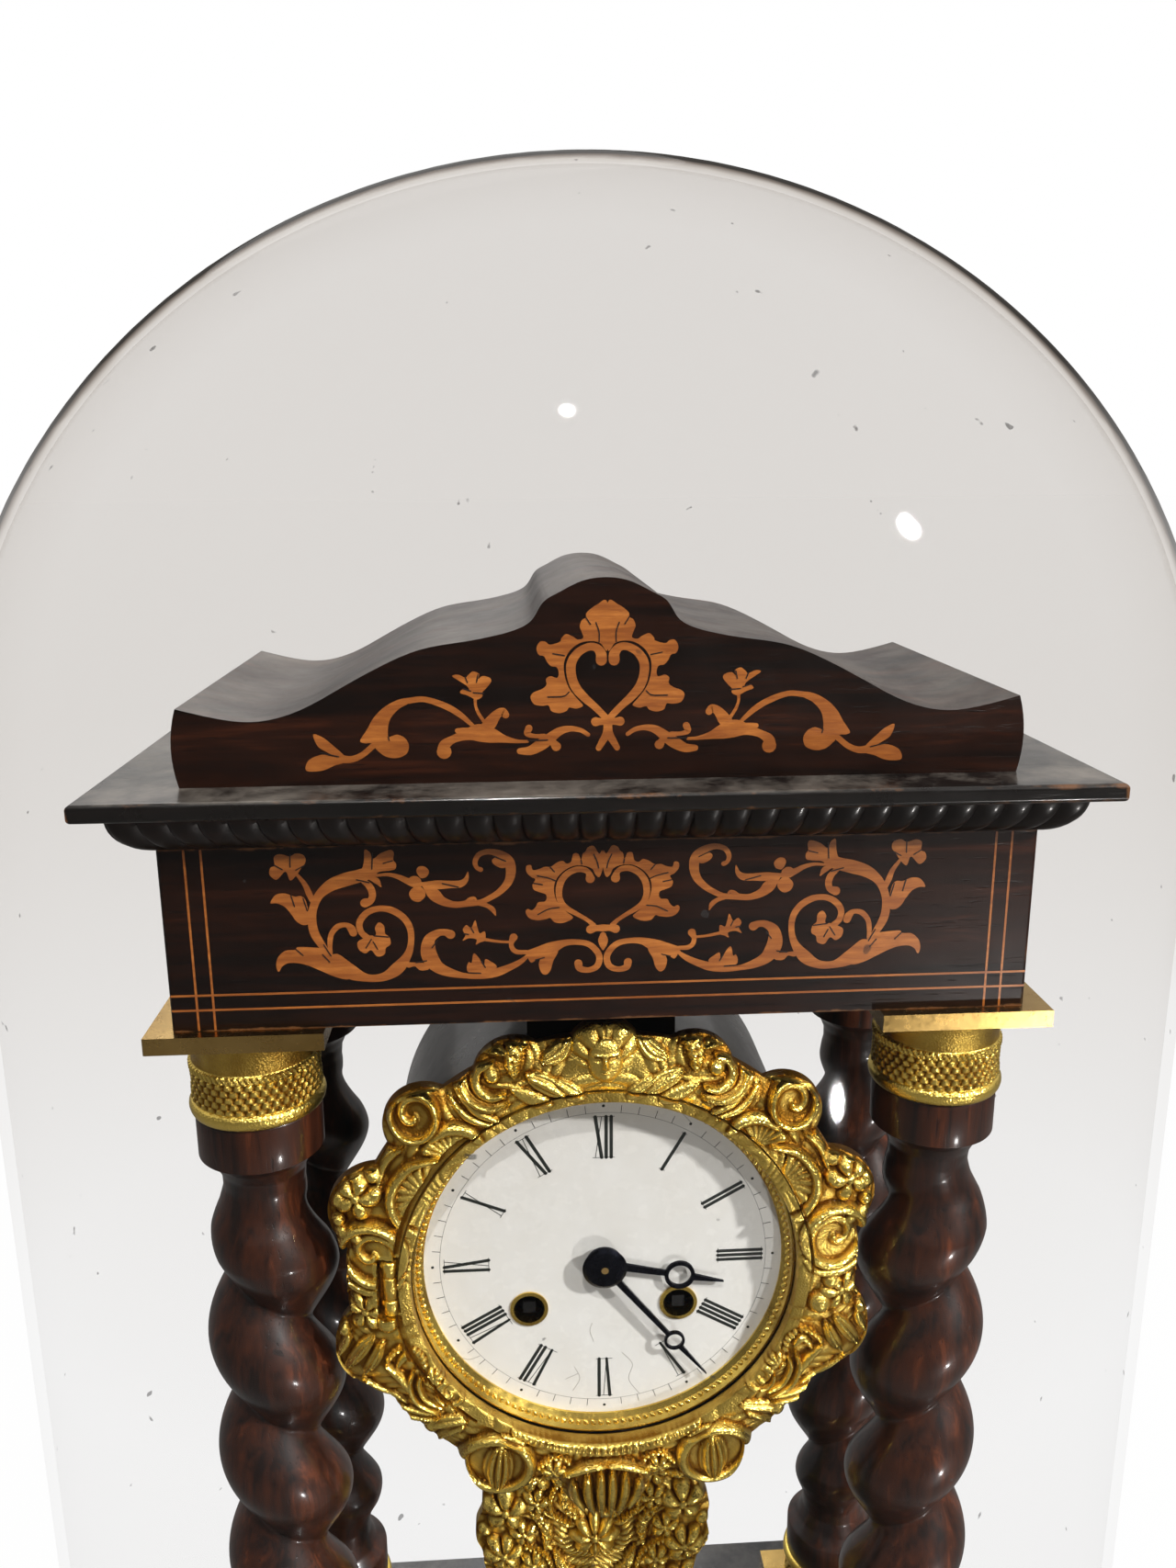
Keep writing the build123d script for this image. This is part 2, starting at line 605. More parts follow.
with BuildPart() as bezel_straps:
    for side in (-1, 1):
        x0, x1 = sorted((side * (DRUM_BORE - 4), side * (DRUM_BORE - 2)))
        block(x0, x1, LEDGE, DRUM_BACK, ZC + 9, ZC + 22)
        a0, a1 = sorted((side * (STRAP_X - 3), side * (DRUM_BORE - 2)))
        block(a0, a1, DRUM_BACK - 6, DRUM_BACK, ZC + STRAP_Z - 3, ZC + STRAP_Z + 3)
        rod_y(1.5, DRUM_BACK - 5, DRUM_BACK + 1, side * STRAP_X, STRAP_Z, Mode.SUBTRACT)
    turned_y(
        [
            (DRUM_BORE - 0.3, LEDGE - 1),
            (DRUM_BORE + 9, LEDGE - 1),
            (DRUM_BORE + 9, DRUM_BACK + 1),
            (DRUM_BORE - 0.3, DRUM_BACK + 1),
        ],
        Mode.SUBTRACT,
    )
export("bezel_straps", bezel_straps)

with BuildPart() as case_screws:
    for y in (-SCREW_Y, SCREW_Y):
        rod_z(2, FRIEZE_Z - 10, FRIEZE_Z + WALL, 0, y)
        rod_z(4, FRIEZE_Z + WALL, FRIEZE_Z + WALL + 3, 0, y)
    for side in (-1, 1):
        rod_y(1.5, DRUM_BACK - 4.5, DRUM_BACK + RING_T, side * STRAP_X, STRAP_Z)
        rod_y(2.6, DRUM_BACK + RING_T, DRUM_BACK + RING_T + 1.8, side * STRAP_X, STRAP_Z)
export("case_screws", case_screws)

# Dial
WINDINGS = [(WINDING_X, WINDING_Z), (-WINDING_X, WINDING_Z)]
PIPE_HOLE = 3.6
with BuildPart() as dial:
    rod_y(DIAL_R, DIAL_FRONT, DIAL_BACK)
    rod_y(PIPE_HOLE, DIAL_FRONT - 1, DIAL_BACK + 1, mode=Mode.SUBTRACT)
    for x, z in WINDINGS:
        rod_y(FERRULE_BORE + 0.8, DIAL_FRONT - 1, DIAL_BACK + 1, x, z, Mode.SUBTRACT)
export("dial", dial)

DIAL_FEET = [(44.0, 2.0), (-44.0, 2.0), (0.0, -46.0)]
with BuildPart() as dial_plate:
    rod_y(DRUM_BORE + 2, DIAL_BACK, LEDGE)
    for x, z in DIAL_FEET:
        rod_y(2, LEDGE, FRONT_Y, x, z)
        rod_y(1.5, FRONT_Y, FRONT_IN, x, z)
    rod_y(PIPE_HOLE, DIAL_BACK - 1, LEDGE + 1, mode=Mode.SUBTRACT)
    for x, z in WINDINGS:
        rod_y(FERRULE_BORE + 0.8, DIAL_BACK - 1, LEDGE + 1, x, z, Mode.SUBTRACT)
export("dial_plate", dial_plate)

with BuildPart() as dial_fittings:
    for x, z in WINDINGS:
        rod_y(FERRULE_BORE + 0.8, DIAL_FRONT, LEDGE, x, z)
        rod_y(FERRULE_R, DIAL_FRONT - 0.5, DIAL_FRONT, x, z)
        rod_y(FERRULE_BORE, DIAL_FRONT - 1, LEDGE + 1, x, z, Mode.SUBTRACT)
    turned_y(
        [
            (SLIP_BORE, DIAL_FRONT),
            (SLIP_BORE, DIAL_FRONT - 0.6),
            (SLIP_BORE + 1.2, DIAL_FRONT - 1.6),
            (SASH_LIP - 0.8, PANE_BACK + 1.2),
            (SASH_LIP - 0.2, PANE_BACK + 1.2),
            (SASH_LIP - 0.2, DIAL_FRONT),
        ]
    )
export("dial_fittings", dial_fittings)

# Wheel places, as (x, z) from the dial's centre
GOING = (WINDING_X, WINDING_Z)
SECOND = (23.0, 9.8)
CENTRE = (0.0, 0.0)
THIRD_X, THIRD_OUT, ESCAPE_STEP = -4.0, 23.77, 11.4
THIRD = (THIRD_X, sqrt(THIRD_OUT**2 - THIRD_X**2))
ESCAPE = (0.0, THIRD[1] + sqrt(ESCAPE_STEP**2 - THIRD_X**2))
ESCAPE_R, ANCHOR_UP = 7.0, 10.0
ANCHOR = (0.0, ESCAPE[1] + ANCHOR_UP)
STRIKE = (-WINDING_X, WINDING_Z)
STRIKE_SECOND = (-23.0, 9.8)
PIN_WHEEL = (-20.0, 31.0)
FLY = (-14.0, 42.0)
HAMMER = (-44.0, 14.0)
MINUTE_ARBOR = (0.0, -12.0)
PILLARS = [(14.0, -42.0), (-14.0, -42.0), (26.0, 37.0), (-35.0, 30.0)]
COCK_X = 20.0
BELL_AT = (0.0, -6.0)
BELL_POST = (-16.0, -6.0)
CLICK_AT = (10.5, 6.0)  # click's pivot from its barrel's axis
GOING_CLICK = (GOING[0] + CLICK_AT[0], GOING[1] + CLICK_AT[1])
STRIKE_CLICK = (STRIKE[0] - CLICK_AT[0], STRIKE[1] + CLICK_AT[1])

N_BARREL, N_SECOND_P, N_SECOND, N_CENTRE_P, N_CENTRE = 80, 16, 72, 12, 80
N_THIRD_P, N_THIRD, N_ESCAPE_P, N_ESCAPE = 8, 84, 7, 34
N_PIN_P, N_PIN, N_FLY_P = 8, 64, 8
N_CANNON, N_MINUTE, N_MINUTE_P, N_HOUR = 12, 36, 10, 40

# Arbor and pivot radii
WIND_R, WIND_SQUARE = 2.4, 3.4
PIVOT, FINE_PIVOT = 0.8, 0.6
CENTRE_R = 1.0
CANNON_R, HOUR_PIPE_IN, HOUR_PIPE_R = 1.9, 2.0, 2.9
SHAKE = 0.4  # an arbor's shoulder from its plate
STUD_R = 1.0
SCREW_R, SCREW_HEAD = 1.2, 2.2

BARREL_FRONT, BARREL_TEETH, BARREL_BACK = FRONT_IN + 2.5, FRONT_IN + 18.5, FRONT_IN + 20.0
SECOND_Y = FRONT_IN + 22.5
CENTRE_Y = FRONT_IN + 27.5
THIRD_Y = FRONT_IN + 30.9
PIN_Y = FRONT_IN + 28.5
ESCAPE_Y = FRONT_IN + 15.5
WHEEL_T = 1.2

with BuildPart() as front_plate:
    rod_y(PLATES_R, FRONT_Y, FRONT_IN)
    for place, r in (
        (GOING, WIND_R + SLIP),
        (STRIKE, WIND_R + SLIP),
        (SECOND, PIVOT + SLIP),
        (STRIKE_SECOND, PIVOT + SLIP),
        (CENTRE, CENTRE_R + SLIP),
        (THIRD, PIVOT + SLIP),
        (ESCAPE, FINE_PIVOT + SLIP),
        (ANCHOR, PIVOT + SLIP),
        (PIN_WHEEL, PIVOT + SLIP),
        (FLY, FINE_PIVOT + SLIP),
        (HAMMER, CENTRE_R + SLIP),
        (GOING_CLICK, SCREW_R),
        (STRIKE_CLICK, SCREW_R),
        *((p, 1.5) for p in DIAL_FEET),
        *((p, SCREW_R) for p in PILLARS),
    ):
        rod_y(r, FRONT_Y - 1, FRONT_IN + 1, *place, Mode.SUBTRACT)
    # stud of the minute wheel
    rod_y(STUD_R, FRONT_Y - 6.6, FRONT_Y, *MINUTE_ARBOR)
    rod_y(1.9, FRONT_Y - 7.2, FRONT_Y - 6.6, *MINUTE_ARBOR)
export("front_plate", front_plate)

with BuildPart() as back_plate:
    rod_y(PLATES_R, BACK_IN, BACK_Y)
    for place, r in (
        (GOING, SCREW_R + SLIP),
        (STRIKE, SCREW_R + SLIP),
        (SECOND, PIVOT + SLIP),
        (STRIKE_SECOND, CENTRE_R + SLIP),
        (CENTRE, PIVOT + SLIP),
        (THIRD, PIVOT + SLIP),
        (ESCAPE, FINE_PIVOT + SLIP),
        (ANCHOR, CENTRE_R + SLIP),
        (PIN_WHEEL, PIVOT + SLIP),
        (FLY, FINE_PIVOT + SLIP),
        (HAMMER, CENTRE_R + SLIP),
        (BELL_POST, SCREW_R),
        ((COCK_X, ANCHOR[1]), SCREW_R),
        ((-COCK_X, ANCHOR[1]), SCREW_R),
        *((p, SCREW_R) for p in PILLARS),
    ):
        rod_y(r, BACK_IN - 1, BACK_Y + 1, *place, Mode.SUBTRACT)
export("back_plate", back_plate)

with BuildPart() as plate_pillars:
    for place in PILLARS:
        rod_y(PILLAR_R, FRONT_IN, BACK_IN, *place)
        rod_y(SCREW_R, FRONT_IN, FRONT_IN + 5, *place, Mode.SUBTRACT)
        rod_y(SCREW_R, BACK_IN - 5, BACK_IN, *place, Mode.SUBTRACT)
export("plate_pillars", plate_pillars)

RATCHET_Y, RATCHET_T = FRONT_Y - 0.6, 1.8
COCK_Y, COCK_T = BACK_Y + 3.5, 2.0
with BuildPart() as movement_screws:
    for place in PILLARS:
        rod_y(SCREW_R, FRONT_Y, FRONT_IN + 4.5, *place)
        rod_y(SCREW_HEAD, FRONT_Y - 1.4, FRONT_Y, *place)
        rod_y(SCREW_R, BACK_IN - 4.5, BACK_Y, *place)
        rod_y(SCREW_HEAD, BACK_Y, BACK_Y + 1.4, *place)
    for side in (-1, 1):
        rod_y(SCREW_R, BACK_IN, COCK_Y + COCK_T, side * COCK_X, ANCHOR[1])
        rod_y(SCREW_HEAD, COCK_Y + COCK_T, COCK_Y + COCK_T + 1.4, side * COCK_X, ANCHOR[1])
    for place in (GOING_CLICK, STRIKE_CLICK):
        rod_y(SCREW_R, RATCHET_Y - RATCHET_T - 0.3, FRONT_IN, *place)
        rod_y(SCREW_HEAD, RATCHET_Y - RATCHET_T - 1.5, RATCHET_Y - RATCHET_T - 0.3, *place)
export("movement_screws", movement_screws)


def arbor(place, r, front_pivot, back_pivot):
    """An arbor between the plates with a pivot in each."""
    rod_y(r, FRONT_IN + SHAKE, BACK_IN - SHAKE, *place)
    rod_y(front_pivot, FRONT_Y + 0.1, FRONT_IN + SHAKE, *place)
    rod_y(back_pivot, BACK_IN - SHAKE, BACK_Y - 0.1, *place)


# Barrels with their winding arbors, ratchets and clicks
M_BARREL = module_of(GOING, SECOND, N_BARREL, N_SECOND_P)
for name, place in (("going", GOING), ("strike", STRIKE)):
    with BuildPart() as barrel:
        wheel_y(toothed(N_BARREL, M_BARREL), BARREL_TEETH, BARREL_BACK, *place)
        rod_y(BARREL_R, BARREL_FRONT, BARREL_TEETH, *place)
        rod_y(BARREL_R - 1.4, BARREL_FRONT - 1, BARREL_TEETH - 1.5, *place, Mode.SUBTRACT)
        rod_y(WIND_R + 2.4, BARREL_TEETH - 9, BARREL_BACK, *place)
        rod_y(WIND_R + SLIP, BARREL_FRONT - 1, BARREL_BACK + 1, *place, Mode.SUBTRACT)
    export(f"{name}_barrel", barrel)
    with BuildPart() as winder:
        rod_y(WIND_R, FRONT_Y - 0.5, BARREL_BACK + 0.5, *place)
        rod_y(SCREW_R, BARREL_BACK + 0.5, BACK_Y - 0.1, *place)
        with BuildSketch(facing(FRONT_Y - 0.5, *place)):
            Rectangle(WIND_SQUARE, WIND_SQUARE)
        extrude(amount=FRONT_Y - 0.5 - DIAL_FRONT - 0.5)
        wheel_y(saw(18, 7.5, 6.4), RATCHET_Y - RATCHET_T, RATCHET_Y, *place)
        rod_y(WIND_R + 1.6, FRONT_IN + SHAKE, BARREL_FRONT - SHAKE, *place)
    export(f"{name}_winding_arbor", winder)

for name, side, place in (("going", 1, GOING), ("strike", -1, STRIKE)):
    px, pz = CLICK_AT
    with BuildPart() as click:
        with BuildSketch(facing(RATCHET_Y, *place)):
            with BuildLine():
                Polyline(
                    (side * px, pz + 2.2),
                    (side * 1.8, pz + 3.2),
                    (side * 1.8, pz + 1.8),
                    (side * 4.5, pz + 2.0),
                    (side * px, pz - 2.0),
                    close=True,
                )
            make_face()
            with Locations((side * px, pz)):
                Circle(2.4)
                Circle(SCREW_R + SLIP, mode=Mode.SUBTRACT)
        extrude(amount=RATCHET_T)
    export(f"{name}_click", click)

# Going train
turn_second = meshed(GOING, SECOND, 0.0, N_BARREL, N_SECOND_P)
with BuildPart() as second_wheel:
    arbor(SECOND, 1.4, PIVOT, PIVOT)
    wheel_y(toothed(N_SECOND_P, M_BARREL, turn_second), BARREL_TEETH - 1.5, SECOND_Y - 1, *SECOND)
    M_SECOND = module_of(SECOND, CENTRE, N_SECOND, N_CENTRE_P)
    wheel_y(toothed(N_SECOND, M_SECOND), SECOND_Y, SECOND_Y + WHEEL_T, *SECOND)
    rod_y(3.2, SECOND_Y - 1, SECOND_Y + WHEEL_T + 1, *SECOND)
export("second_wheel", second_wheel)

turn_centre = meshed(SECOND, CENTRE, 0.0, N_SECOND, N_CENTRE_P)
M_CENTRE = module_of(CENTRE, THIRD, N_CENTRE, N_THIRD_P)
HOUR_HAND_Y = DIAL_FRONT - 1.4
MINUTE_HAND_Y = HOUR_HAND_Y - HAND_T - 0.8
BOSS_BACK = MINUTE_HAND_Y - HAND_T
with BuildPart() as centre_wheel:
    rod_y(1.6, FRONT_IN + SHAKE, BACK_IN - SHAKE)
    rod_y(CENTRE_R, BOSS_BACK - 1.0, FRONT_IN + SHAKE)
    rod_y(PIVOT, BACK_IN - SHAKE, BACK_Y - 0.1)
    wheel_y(toothed(N_CENTRE_P, M_SECOND, turn_centre), SECOND_Y - 1.3, SECOND_Y + WHEEL_T + 1.3, *CENTRE)
    wheel_y(toothed(N_CENTRE, M_CENTRE), CENTRE_Y, CENTRE_Y + WHEEL_T, *CENTRE)
    rod_y(3.4, CENTRE_Y - 1, CENTRE_Y + WHEEL_T + 1)
export("centre_wheel", centre_wheel)

turn_third = meshed(CENTRE, THIRD, 0.0, N_CENTRE, N_THIRD_P)
M_THIRD = module_of(THIRD, ESCAPE, N_THIRD, N_ESCAPE_P)
with BuildPart() as third_wheel:
    arbor(THIRD, 1.2, PIVOT, PIVOT)
    wheel_y(toothed(N_THIRD_P, M_CENTRE, turn_third), CENTRE_Y - 1.2, CENTRE_Y + WHEEL_T + 1.2, *THIRD)
    wheel_y(toothed(N_THIRD, M_THIRD), THIRD_Y, THIRD_Y + 1, *THIRD)
export("third_wheel", third_wheel)

turn_escape = meshed(THIRD, ESCAPE, 0.0, N_THIRD, N_ESCAPE_P)
with BuildPart() as escape_wheel:
    rod_y(0.9, FRONT_IN + SHAKE, THIRD_Y - 1.2, *ESCAPE)
    rod_y(FINE_PIVOT, FRONT_Y + 0.1, FRONT_IN + SHAKE, *ESCAPE)
    rod_y(FINE_PIVOT, THIRD_Y - 1.2, BACK_Y - 0.1, *ESCAPE)
    wheel_y(toothed(N_ESCAPE_P, M_THIRD, turn_escape, 0.18, 0.42), THIRD_Y - 1.2, THIRD_Y + 2.2, *ESCAPE)
    wheel_y(saw(N_ESCAPE, ESCAPE_R, ESCAPE_R - 1.3), ESCAPE_Y, ESCAPE_Y + 1, *ESCAPE)
    rod_y(2.4, ESCAPE_Y - 1, ESCAPE_Y + 2, *ESCAPE)
export("escape_wheel", escape_wheel)

# Anchor and crutch, whose fork holds the pendulum's rod
PALLET = ESCAPE_R + 1.0
FORK_Z = ANCHOR[1] - 32.0
with BuildPart() as anchor:
    rod_y(1.2, FRONT_IN + SHAKE, BACK_IN - SHAKE, *ANCHOR)
    rod_y(PIVOT, FRONT_Y + 0.1, FRONT_IN + SHAKE, *ANCHOR)
    rod_y(CENTRE_R, BACK_IN - SHAKE, BACK_Y + 1.8, *ANCHOR)
    px, pz = PALLET * sin(pi / 4), PALLET * cos(pi / 4) - ANCHOR_UP
    with BuildSketch(facing(ESCAPE_Y + 1.1, *ANCHOR)):
        with BuildLine():
            Polyline(
                (-2, 1.6),
                (2, 1.6),
                (px + 1.6, pz + 1.2),
                (px + 1.2, pz + 0.4),
                (px, pz),
                (px - 0.2, pz + 0.6),
                (0, -0.9),
                (0.2 - px, pz + 0.6),
                (-px, pz),
                (-px - 1.2, pz + 0.4),
                (-px - 1.6, pz + 1.2),
                close=True,
            )
        make_face()
    extrude(amount=1.2)
    rod_y(3, BACK_Y + 0.4, BACK_Y + 1.8, *ANCHOR)
    block(-1.2, 1.2, BACK_Y + 0.4, BACK_Y + 1.8, ZC + FORK_Z, ZC + ANCHOR[1])
    block(-3.4, 3.4, BACK_Y + 0.4, BACK_Y + 1.8, ZC + FORK_Z - 2, ZC + FORK_Z + 1)
    for side in (-1, 1):
        x0, x1 = sorted((side * (ROD_W / 2 + 0.35), side * (ROD_W / 2 + 1.9)))
        block(x0, x1, BACK_Y + 0.4, ROD_Y + 1.6, ZC + FORK_Z - 2, ZC + FORK_Z + 1)
export("anchor", anchor)

# Suspension and pendulum
with BuildPart() as suspension_cock:
    block(-COCK_X - 3, COCK_X + 3, COCK_Y, COCK_Y + COCK_T, ZC + ANCHOR[1] - 3, ZC + ANCHOR[1] + 3)
    for side in (-1, 1):
        x0, x1 = sorted((side * (COCK_X - 3), side * (COCK_X + 3)))
        block(x0, x1, BACK_Y, COCK_Y, ZC + ANCHOR[1] - 3, ZC + ANCHOR[1] + 3)
        rod_y(SCREW_R, BACK_Y - 1, COCK_Y + COCK_T + 1, side * COCK_X, ANCHOR[1], Mode.SUBTRACT)
    rod_y(PIN_R, COCK_Y + COCK_T, ROD_Y + 1.6, *ANCHOR)
    rod_y(2.2, ROD_Y + 1.6, ROD_Y + 2.6, *ANCHOR)
export("suspension_cock", suspension_cock)

BOB_Z = ANCHOR[1] - PENDULUM
with BuildPart() as pendulum_rod:
    with BuildSketch(facing(ROD_Y + ROD_T / 2, *ANCHOR)):
        Circle(3)
        with Locations((0, (BOB_R - 4 - PENDULUM) / 2)):
            Rectangle(ROD_W, PENDULUM - BOB_R + 4)
        Circle(PIN_R + SLIP, mode=Mode.SUBTRACT)
    extrude(amount=ROD_T)
    rod_z(1.5, ZC + BOB_Z - BOB_R - 12, ZC + BOB_Z + BOB_R - 4, 0, ROD_Y)
export("pendulum_rod", pendulum_rod)

rim = []
for k in range(2 * SCALLOPS):
    a = pi * k / SCALLOPS
    r = BOB_R - (0 if k % 2 else 2)
    rim.append((r * cos(a), r * sin(a)))
with BuildPart() as pendulum_bob:
    with BuildSketch(facing(ROD_Y + BOB_T / 2, 0, BOB_Z)):
        with BuildLine():
            Spline(*rim, periodic=True)
        make_face()
    extrude(amount=BOB_T - 3)
    with BuildSketch(Plane.XY.offset(ZC + BOB_Z)):
        with BuildLine():
            Polyline(
                (0, ROD_Y),
                (BOB_R - 5, ROD_Y),
                (BOB_R - 6, ROD_Y + 2.5 - BOB_T / 2),
                (BOB_R - 12, ROD_Y - BOB_T / 2),
                (BOB_R - 22, ROD_Y - BOB_T / 2 - 1.5),
                (0, ROD_Y - BOB_T / 2 - 3),
                close=True,
            )
        make_face()
    revolve(axis=Axis((0, 0, ZC + BOB_Z), (0, 1, 0)))
    rod_z(1.6, ZC + BOB_Z - BOB_R - 5, ZC + BOB_Z + BOB_R + 5, 0, ROD_Y, Mode.SUBTRACT)
    block(-1.7, 1.7, ROD_Y - 1, ROD_Y + 1, ZC + BOB_Z + BOB_R - 6, ZC + BOB_Z + BOB_R + 5, Mode.SUBTRACT)
export("pendulum_bob", pendulum_bob)

with BuildPart() as rating_nut:
    rod_z(5, ZC + BOB_Z - BOB_R - 6, ZC + BOB_Z - BOB_R - 2, 0, ROD_Y)
    rod_z(3.2, ZC + BOB_Z - BOB_R - 2, ZC + BOB_Z - BOB_R - 0.2, 0, ROD_Y)
    rod_z(1.5, ZC + BOB_Z - BOB_R - 8, ZC + BOB_Z - BOB_R + 1, 0, ROD_Y, Mode.SUBTRACT)
export("rating_nut", rating_nut)

# Motion work and hands
M_CANNON = module_of(CENTRE, MINUTE_ARBOR, N_CANNON, N_MINUTE)
M_HOUR = module_of(CENTRE, MINUTE_ARBOR, N_MINUTE_P, N_HOUR)
CANNON_Y = FRONT_Y - 4.0  # front of the cannon's teeth
HOUR_Y = CANNON_Y - 1.4
with BuildPart() as cannon_pinion:
    rod_y(CANNON_R, BOSS_BACK, CANNON_Y + 2.6)
    wheel_y(toothed(N_CANNON, M_CANNON), CANNON_Y, CANNON_Y + 2.6, *CENTRE)
    rod_y(CENTRE_R, BOSS_BACK - 1, CANNON_Y + 4, mode=Mode.SUBTRACT)
export("cannon_pinion", cannon_pinion)

turn_minute = meshed(CENTRE, MINUTE_ARBOR, 0.0, N_CANNON, N_MINUTE)
with BuildPart() as minute_wheel:
    wheel_y(toothed(N_MINUTE, M_CANNON, turn_minute), CANNON_Y + 0.5, CANNON_Y + 1.7, *MINUTE_ARBOR)
    wheel_y(toothed(N_MINUTE_P, M_HOUR), HOUR_Y - 0.6, CANNON_Y + 0.5, *MINUTE_ARBOR)
    rod_y(STUD_R + SLIP, HOUR_Y - 2, CANNON_Y + 3, *MINUTE_ARBOR, Mode.SUBTRACT)
export("minute_wheel", minute_wheel)

turn_hour = meshed(MINUTE_ARBOR, CENTRE, 0.0, N_MINUTE_P, N_HOUR)
with BuildPart() as hour_wheel:
    wheel_y(toothed(N_HOUR, M_HOUR, turn_hour), HOUR_Y, HOUR_Y + 1, *CENTRE)
    rod_y(HOUR_PIPE_R, HOUR_HAND_Y - HAND_T, HOUR_Y + 1)
    rod_y(HOUR_PIPE_IN, HOUR_HAND_Y - 3, HOUR_Y + 3, mode=Mode.SUBTRACT)
export("hour_wheel", hour_wheel)


def hand(y, clock, hub, bore, length, eye, eye_r, width):
    """A slim hand with a pierced eye, pointing at clock degrees."""
    with BuildSketch(facing(y, clock=clock)) as face:
        Circle(hub)
        with BuildLine():
            Polyline(
                (-width, 0),
                (width, 0),
                (width * 0.6, eye - eye_r + 0.4),
                (-width * 0.6, eye - eye_r + 0.4),
                close=True,
            )
        make_face()
        with BuildLine():
            Polyline(
                (-width * 0.75, eye + eye_r - 0.5),
                (width * 0.75, eye + eye_r - 0.5),
                (0.12, length),
                (-0.12, length),
                close=True,
            )
        make_face()
        with Locations((0, eye)):
            Circle(eye_r)
            Circle(eye_r * 0.74, mode=Mode.SUBTRACT)
        Circle(bore, mode=Mode.SUBTRACT)
    extrude(face.sketch, amount=HAND_T)


with BuildPart() as hour_hand:
    hand(
        HOUR_HAND_Y, (3 + MINUTES / 60) * 30, 5.2, HOUR_PIPE_R, HOUR_LEN, HOUR_EYE, HOUR_EYE_R, 1.25
    )
export("hour_hand", hour_hand)

with BuildPart() as minute_hand:
    hand(
        MINUTE_HAND_Y, MINUTES * 6, 4.4, CANNON_R, MINUTE_LEN, MINUTE_EYE, MINUTE_EYE_R, 1.0
    )
export("minute_hand", minute_hand)

with BuildPart() as hand_boss:
    turned_y(
        [
            (CENTRE_R, BOSS_BACK),
            (BOSS_R, BOSS_BACK),
            (BOSS_R - 1, BOSS_BACK - 0.7),
            (CENTRE_R, BOSS_BACK - 1.0),
        ]
    )
export("hand_boss", hand_boss)

# Strike train, hammer and bell
turn_s2 = meshed(STRIKE, STRIKE_SECOND, 0.0, N_BARREL, N_SECOND_P)
M_S2 = module_of(STRIKE_SECOND, PIN_WHEEL, N_SECOND, N_PIN_P)
COUNT_Y = BACK_Y + 0.6
with BuildPart() as strike_second_wheel:
    rod_y(1.4, FRONT_IN + SHAKE, BACK_IN - SHAKE, *STRIKE_SECOND)
    rod_y(PIVOT, FRONT_Y + 0.1, FRONT_IN + SHAKE, *STRIKE_SECOND)
    rod_y(CENTRE_R, BACK_IN - SHAKE, COUNT_Y + 1.4, *STRIKE_SECOND)
    wheel_y(toothed(N_SECOND_P, M_BARREL, turn_s2), BARREL_TEETH - 1.5, SECOND_Y - 1, *STRIKE_SECOND)
    wheel_y(toothed(N_SECOND, M_S2), SECOND_Y, SECOND_Y + WHEEL_T, *STRIKE_SECOND)
    rod_y(3.2, SECOND_Y - 1, SECOND_Y + WHEEL_T + 1, *STRIKE_SECOND)
    # count plate behind the back plate
    wheel_y(saw(12, 14, 12), COUNT_Y, COUNT_Y + 1.4, *STRIKE_SECOND)
export("strike_second_wheel", strike_second_wheel)

turn_pin = meshed(STRIKE_SECOND, PIN_WHEEL, 0.0, N_SECOND, N_PIN_P)
M_PIN = module_of(PIN_WHEEL, FLY, N_PIN, N_FLY_P)
PINS, PINS_R = 8, 8.6
with BuildPart() as pin_wheel:
    arbor(PIN_WHEEL, 1.2, PIVOT, PIVOT)
    wheel_y(toothed(N_PIN_P, M_S2, turn_pin), SECOND_Y - 1.2, SECOND_Y + WHEEL_T + 1.0, *PIN_WHEEL)
    wheel_y(toothed(N_PIN, M_PIN), PIN_Y, PIN_Y + WHEEL_T, *PIN_WHEEL)
    for k in range(PINS):
        a = 2 * pi * k / PINS
        x, z = PIN_WHEEL[0] + PINS_R * cos(a), PIN_WHEEL[1] + PINS_R * sin(a)
        rod_y(0.6, PIN_Y - 3.0, PIN_Y, x, z)
export("pin_wheel", pin_wheel)

turn_fly = meshed(PIN_WHEEL, FLY, 0.0, N_PIN, N_FLY_P)
with BuildPart() as fly:
    rod_y(0.9, FRONT_IN + SHAKE, PIN_Y - 1.2, *FLY)
    rod_y(FINE_PIVOT, FRONT_Y + 0.1, FRONT_IN + SHAKE, *FLY)
    rod_y(FINE_PIVOT, PIN_Y - 1.2, BACK_Y - 0.1, *FLY)
    wheel_y(toothed(N_FLY_P, M_PIN, turn_fly, 0.18, 0.42), PIN_Y - 1.2, PIN_Y + WHEEL_T + 1.2, *FLY)
    fly_y = FRONT_IN + 7.5
    block(FLY[0] - 6.5, FLY[0] + 6.5, fly_y, fly_y + 13, ZC + FLY[1] - 0.4, ZC + FLY[1] + 0.4)
export("fly", fly)

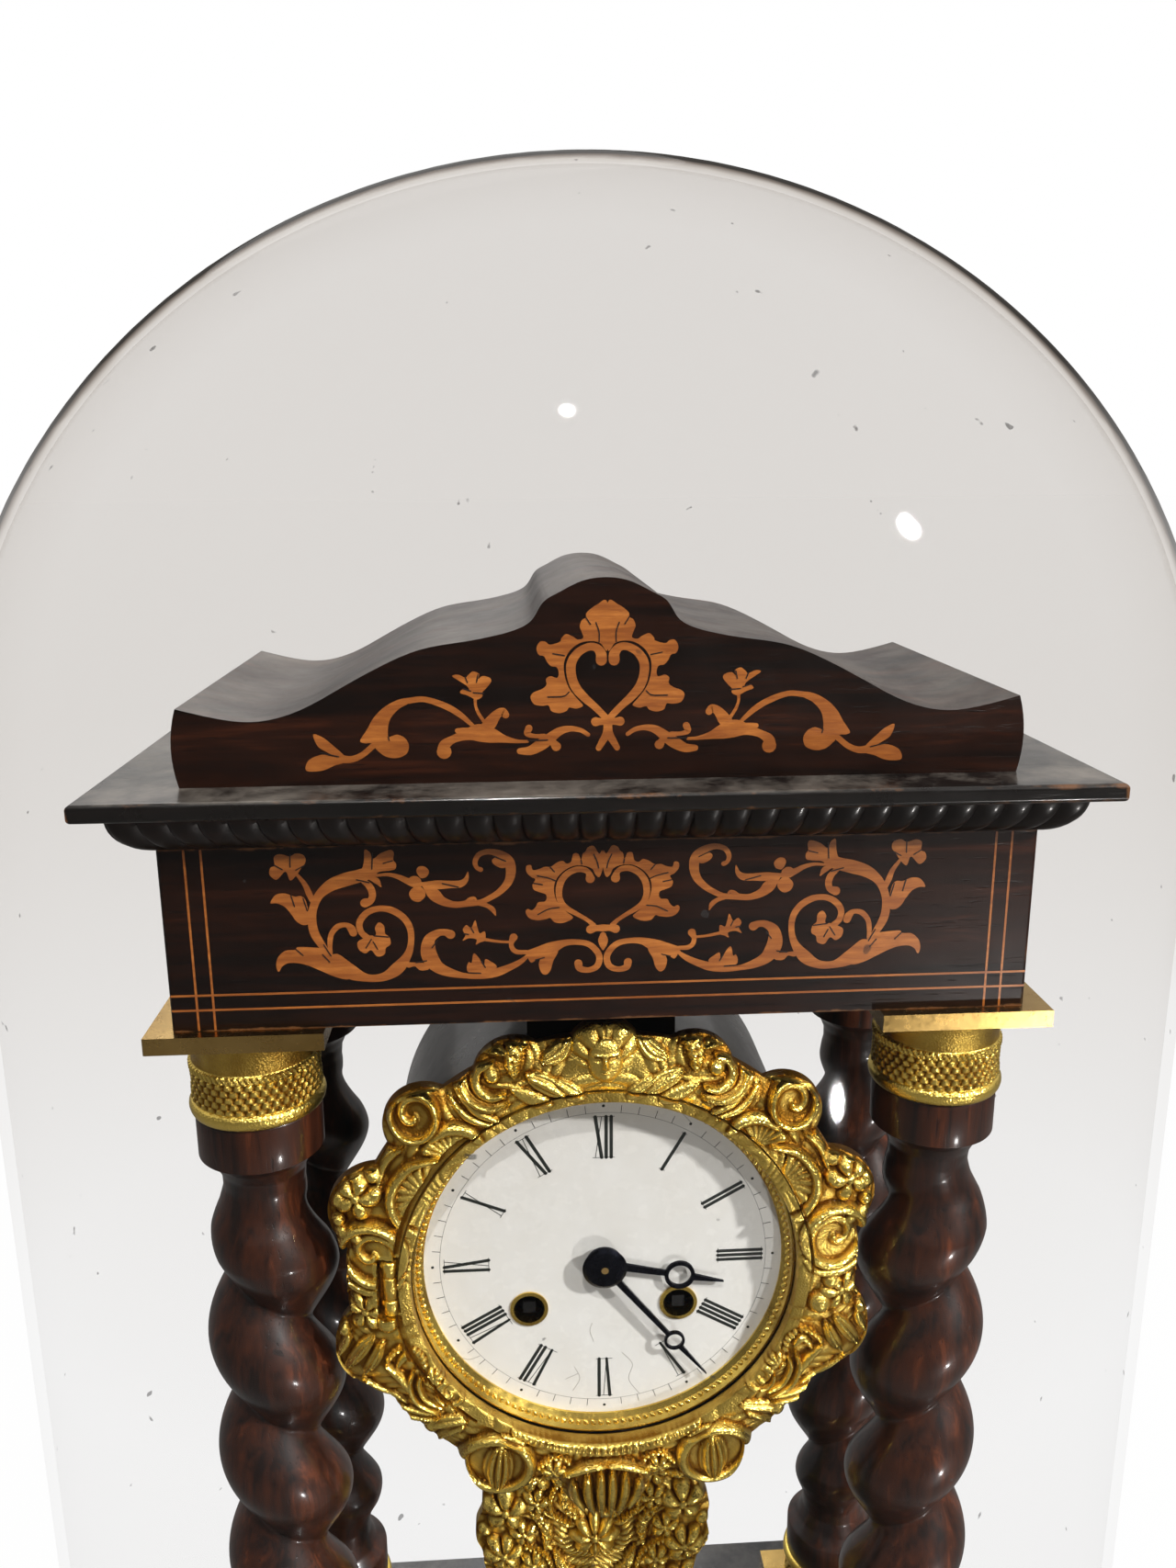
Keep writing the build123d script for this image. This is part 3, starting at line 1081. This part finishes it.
HEAD_R = 3.2
HEAD = (BELL_AT[0] - BELL_R - HEAD_R - 2.0, BELL_AT[1])
to_pins = hypot(PIN_WHEEL[0] - HAMMER[0], PIN_WHEEL[1] - HAMMER[1])
tail_way = 90 - degrees(atan2(PIN_WHEEL[1] - HAMMER[1], PIN_WHEEL[0] - HAMMER[0]))
arm_way = 90 - degrees(atan2(HEAD[1] - HAMMER[1], HEAD[0] - HAMMER[0]))
arm_len = hypot(HEAD[0] - HAMMER[0], HEAD[1] - HAMMER[1])
ARM_Y = BACK_Y + 3.0
with BuildPart() as hammer:
    rod_y(1.2, FRONT_IN + SHAKE, BACK_IN - SHAKE, *HAMMER)
    rod_y(CENTRE_R, FRONT_Y + 0.1, FRONT_IN + SHAKE, *HAMMER)
    rod_y(CENTRE_R, BACK_IN - SHAKE, ARM_Y + 2, *HAMMER)
    with BuildSketch(facing(PIN_Y - 0.8, *HAMMER, tail_way)):
        Circle(2.2)
        with BuildLine():
            Polyline((-1, 0), (1, 0), (0.6, to_pins - PINS_R - 1.2), (-0.6, to_pins - PINS_R - 1.2), close=True)
        make_face()
    extrude(amount=1.2)
    with BuildSketch(facing(ARM_Y + 2, *HAMMER, arm_way)):
        Circle(2.4)
        with Locations((0, arm_len / 2)):
            Rectangle(2, arm_len)
    extrude(amount=2)
    rod_y(HEAD_R, ARM_Y, BELL_Y + 5, *HEAD)
export("hammer", hammer)

BELL_TOP = BELL_Y + BELL_DEEP
with BuildPart() as bell:
    with BuildSketch(Plane.XY.offset(ZC + BELL_AT[1])):
        with BuildLine():
            EllipticalCenterArc((0, BELL_Y), BELL_R, BELL_DEEP, start_angle=0, arc_size=90)
            Line((0, BELL_TOP), (0, BELL_TOP - BELL_T))
            EllipticalCenterArc((0, BELL_Y), BELL_R - BELL_T, BELL_DEEP - BELL_T, start_angle=0, arc_size=90)
            Line((BELL_R - BELL_T, BELL_Y), (BELL_R, BELL_Y))
        make_face()
    revolve(axis=Axis((BELL_AT[0], 0, ZC + BELL_AT[1]), (0, 1, 0)))
    rod_y(2, BELL_Y, BELL_TOP + 2, *BELL_AT, Mode.SUBTRACT)
export("bell", bell)

with BuildPart() as bell_stand:
    rod_y(SCREW_R, BACK_IN, BACK_Y, *BELL_POST)
    rod_y(2.2, BACK_Y, BELL_Y + 6, *BELL_POST)
    block(
        BELL_POST[0] - 2.2,
        BELL_AT[0] + 3.2,
        BELL_Y + 6,
        BELL_Y + 9,
        ZC + BELL_AT[1] - 2.2,
        ZC + BELL_AT[1] + 2.2,
    )
    rod_y(3.2, BELL_Y + 9, BELL_TOP - BELL_T - 0.2, *BELL_AT)
    rod_y(2, BELL_Y + 9, BELL_TOP + 0.1, *BELL_AT)
    rod_y(4, BELL_TOP + 0.1, BELL_TOP + 2.4, *BELL_AT)
export("bell_stand", bell_stand)
